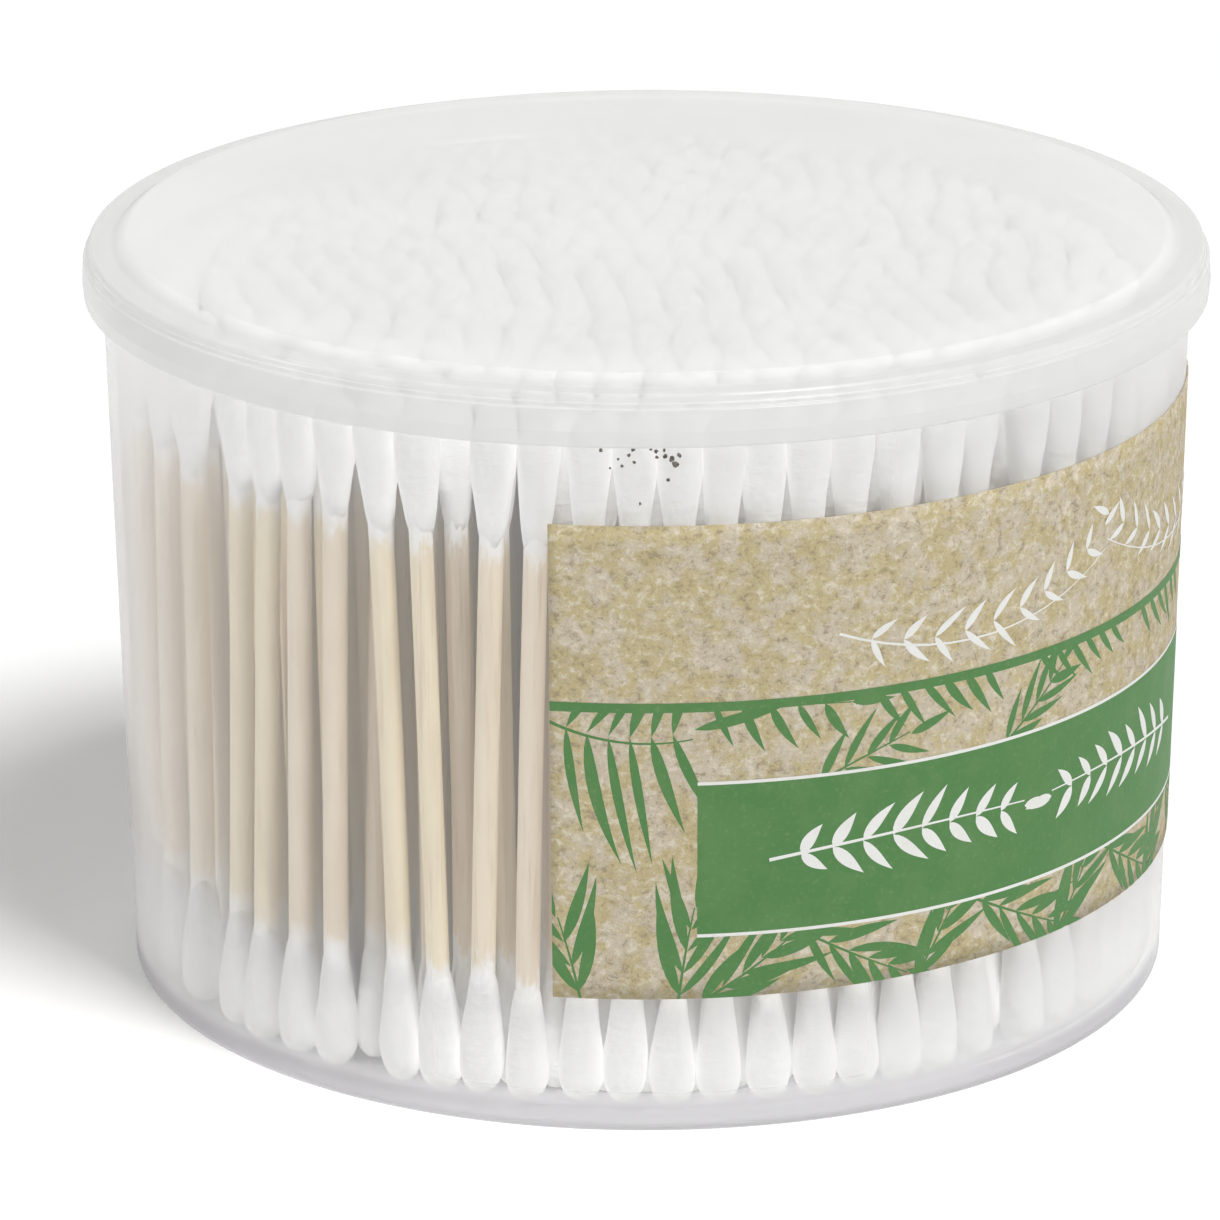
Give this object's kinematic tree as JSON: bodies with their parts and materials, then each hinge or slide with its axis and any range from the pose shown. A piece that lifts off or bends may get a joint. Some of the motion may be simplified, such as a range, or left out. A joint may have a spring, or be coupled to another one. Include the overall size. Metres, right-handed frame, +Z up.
{
  "type": "cotton swab tub",
  "caption": "Round see-through plastic tub with a press-on lid, packed with upright bamboo cotton swabs, and a printed paper label round one side",
  "frame": {"origin": "centre of the foot ring, on the standing plane", "axes": "+Z up along the tub's axis, -Y is the side that the picture shows, +X to its right"},
  "size_m": [0.1181, 0.118, 0.0804],
  "materials": {
    "clear_plastic": "clear moulded polypropylene with a slight haze",
    "milky_plastic": "milky moulded polyethylene, satin",
    "kraft_paper": "kraft paper label with flecks and a green leaf print",
    "bamboo": "bare pale bamboo, fine straight grain",
    "cotton": "white wound cotton, matte"
  },
  "bodies": {
    "tub": {"tub": "clear_plastic", "label": "kraft_paper", "outer_sticks": "bamboo", "outer_upper_tips": "cotton", "outer_lower_tips": "cotton", "inner_sticks": "bamboo", "inner_upper_tips": "cotton", "inner_lower_tips": "cotton"},
    "lid": {"lid": "milky_plastic"}
  },
  "joints": [
    {"name": "lid_lift", "type": "slide", "parent": "tub", "child": "lid", "axis": [0, 0, 1], "range_m": [0, 0.04]}
  ]
}
